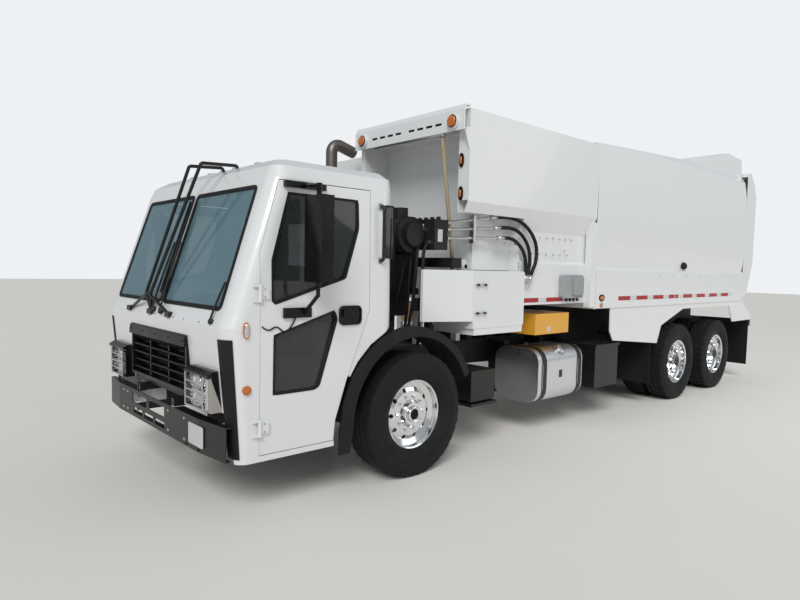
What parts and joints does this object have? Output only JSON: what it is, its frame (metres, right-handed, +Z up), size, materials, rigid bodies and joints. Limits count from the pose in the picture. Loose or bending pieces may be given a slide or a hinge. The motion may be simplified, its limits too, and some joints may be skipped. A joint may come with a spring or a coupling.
{
  "type": "garbage truck",
  "caption": "Side-loading garbage truck with a low tilting cab, an open hopper, a sliding lift arm with claws, an ejector body and a lifting tailgate.",
  "frame": {"origin": "centre of the bounding box's base, on the ground under the middle of the length", "axes": "-Y is the front of the vehicle, +X its left side, +Z up"},
  "size_m": [2.98, 9.62, 3.63],
  "materials": {
    "white_paint": "gloss",
    "black_paint": "satin",
    "frame_paint": "satin",
    "yellow_paint": "gloss",
    "polished_alloy": "polished",
    "tyre_rubber": "matte",
    "cast_grey": "rough",
    "black_plastic": "grained",
    "gloss_black": "gloss",
    "clear_glass": "clear",
    "grey_trim": "woven",
    "hose_rubber": "matte",
    "pipe_steel": "brushed",
    "exhaust_steel": "dull",
    "lamp_cluster": "gloss"
  },
  "bodies": {
    "chassis": {"frame_rails": "frame_paint", "front_bumper": "black_paint", "front_axle": "cast_grey", "rear_axles": "cast_grey", "rear_suspension": "cast_grey", "drive_shafts": "cast_grey", "engine_block": "cast_grey", "fuel_tank": "polished_alloy", "side_boxes": "black_paint", "front_fenders": "black_plastic", "rear_fenders": "white_paint", "mud_flaps": "hose_rubber", "rear_bumper": "black_paint", "toolbox": "white_paint", "power_pack": "black_paint", "oil_pipes": "pipe_steel", "oil_hoses": "hose_rubber", "exhaust_stack": "exhaust_steel", "hopper_shell": "white_paint", "header_visor": "white_paint", "body_shell": "white_paint", "tailgate_barrels": "black_paint", "arm_rail": "yellow_paint", "junction_box": "black_plastic"},
    "cab": {"cab_shell": "white_paint", "cab_glass": "clear_glass", "cab_interior": "grey_trim", "grille": "gloss_black", "headlamps": "lamp_cluster", "mirror_hoop": "black_paint", "corner_trims": "black_plastic", "cab_lamps": "lamp_cluster"},
    "left_door": {"door_left": "white_paint", "door_glass_left": "clear_glass", "mirror_left": "gloss_black"},
    "right_door": {"door_right": "white_paint", "door_glass_right": "clear_glass", "mirror_right": "gloss_black"},
    "left_knuckle": {"knuckle_left": "cast_grey"},
    "right_knuckle": {"knuckle_right": "cast_grey"},
    "front_left_wheel": {"rim_front_left": "polished_alloy", "tyre_front_left": "tyre_rubber"},
    "front_right_wheel": {"rim_front_right": "polished_alloy", "tyre_front_right": "tyre_rubber"},
    "mid_left_wheel": {"rims_mid_left": "polished_alloy", "tyres_mid_left": "tyre_rubber"},
    "mid_right_wheel": {"rims_mid_right": "polished_alloy", "tyres_mid_right": "tyre_rubber"},
    "rear_left_wheel": {"rims_rear_left": "polished_alloy", "tyres_rear_left": "tyre_rubber"},
    "rear_right_wheel": {"rims_rear_right": "polished_alloy", "tyres_rear_right": "tyre_rubber"},
    "toolbox_lid": {"toolbox_door": "white_paint"},
    "packer": {"packer_panel": "white_paint"},
    "tail": {"tailgate": "white_paint"},
    "tail_rods": {"tailgate_rods": "pipe_steel"},
    "carriage": {"arm_carriage": "white_paint"},
    "arm": {"lift_arm": "white_paint"},
    "rear_claw": {"claw_rear": "white_paint"},
    "front_claw": {"claw_front": "white_paint"}
  },
  "joints": [
    {"name": "cab_tilt", "type": "hinge", "parent": "chassis", "child": "cab", "pos_m": [0, -4.75, 0.705], "axis": [1, 0, 0], "range_deg": [0, 45]},
    {"name": "door_left_swing", "type": "hinge", "parent": "cab", "child": "left_door", "pos_m": [1.214, -4.52, 1.1], "axis": [0, 0, -1], "range_deg": [0, 70]},
    {"name": "door_right_swing", "type": "hinge", "parent": "cab", "child": "right_door", "pos_m": [-1.214, -4.52, 1.1], "axis": [0, 0, 1], "range_deg": [0, 70]},
    {"name": "steer_left", "type": "hinge", "parent": "chassis", "child": "left_knuckle", "pos_m": [0.925, -3.06, 0.525], "axis": [0, 0, 1], "range_deg": [-38, 38]},
    {"name": "steer_right", "type": "hinge", "parent": "chassis", "child": "right_knuckle", "pos_m": [-0.925, -3.06, 0.525], "axis": [0, 0, 1], "range_deg": [-38, 38]},
    {"name": "front_left_spin", "type": "hinge", "parent": "left_knuckle", "child": "front_left_wheel", "pos_m": [1.0835, -3.06, 0.525], "axis": [1, 0, 0], "continuous": true},
    {"name": "front_right_spin", "type": "hinge", "parent": "right_knuckle", "child": "front_right_wheel", "pos_m": [-1.0835, -3.06, 0.525], "axis": [1, 0, 0], "continuous": true},
    {"name": "mid_left_spin", "type": "hinge", "parent": "chassis", "child": "mid_left_wheel", "pos_m": [0.92, 2.003, 0.525], "axis": [1, 0, 0], "continuous": true},
    {"name": "mid_right_spin", "type": "hinge", "parent": "chassis", "child": "mid_right_wheel", "pos_m": [-0.92, 2.003, 0.525], "axis": [1, 0, 0], "continuous": true},
    {"name": "rear_left_spin", "type": "hinge", "parent": "chassis", "child": "rear_left_wheel", "pos_m": [0.92, 3.346, 0.525], "axis": [1, 0, 0], "continuous": true},
    {"name": "rear_right_spin", "type": "hinge", "parent": "chassis", "child": "rear_right_wheel", "pos_m": [-0.92, 3.346, 0.525], "axis": [1, 0, 0], "continuous": true},
    {"name": "toolbox_door_swing", "type": "hinge", "parent": "chassis", "child": "toolbox_lid", "pos_m": [1.209, -1.614, 1.4735], "axis": [0, 0, 1], "range_deg": [0, 100]},
    {"name": "packer_slide", "type": "slide", "parent": "chassis", "child": "packer", "axis": [0, 1, 0], "range_m": [0, 5.4]},
    {"name": "tailgate_lift", "type": "hinge", "parent": "chassis", "child": "tail", "pos_m": [0, 4.35, 3.43], "axis": [1, 0, 0], "range_deg": [0, 85]},
    {"name": "tailgate_rod_slide", "type": "slide", "parent": "chassis", "child": "tail_rods", "axis": [0, -0.9999, -0.0119], "range_m": [0, 0.149]},
    {"name": "arm_reach", "type": "slide", "parent": "chassis", "child": "carriage", "axis": [-1, 0, 0], "range_m": [0, 1.5]},
    {"name": "arm_lift", "type": "hinge", "parent": "carriage", "child": "arm", "pos_m": [-1.12, -0.933, 1.5], "axis": [0, 1, 0], "range_deg": [0, 150]},
    {"name": "rear_claw_swing", "type": "hinge", "parent": "arm", "child": "rear_claw", "pos_m": [-1.2, -0.721, 0.76], "axis": [0, 0, 1], "range_deg": [0, 105]},
    {"name": "front_claw_swing", "type": "hinge", "parent": "arm", "child": "front_claw", "pos_m": [-1.2, -1.145, 0.76], "axis": [0, 0, -1], "range_deg": [0, 105]}
  ],
  "couplings": [
    {"joint": "steer_right", "follows": "steer_left", "ratio": 1},
    {"joint": "tailgate_rod_slide", "follows": "tailgate_lift", "m_per_rad": 0.1002},
    {"joint": "front_claw_swing", "follows": "rear_claw_swing", "ratio": 1}
  ]
}
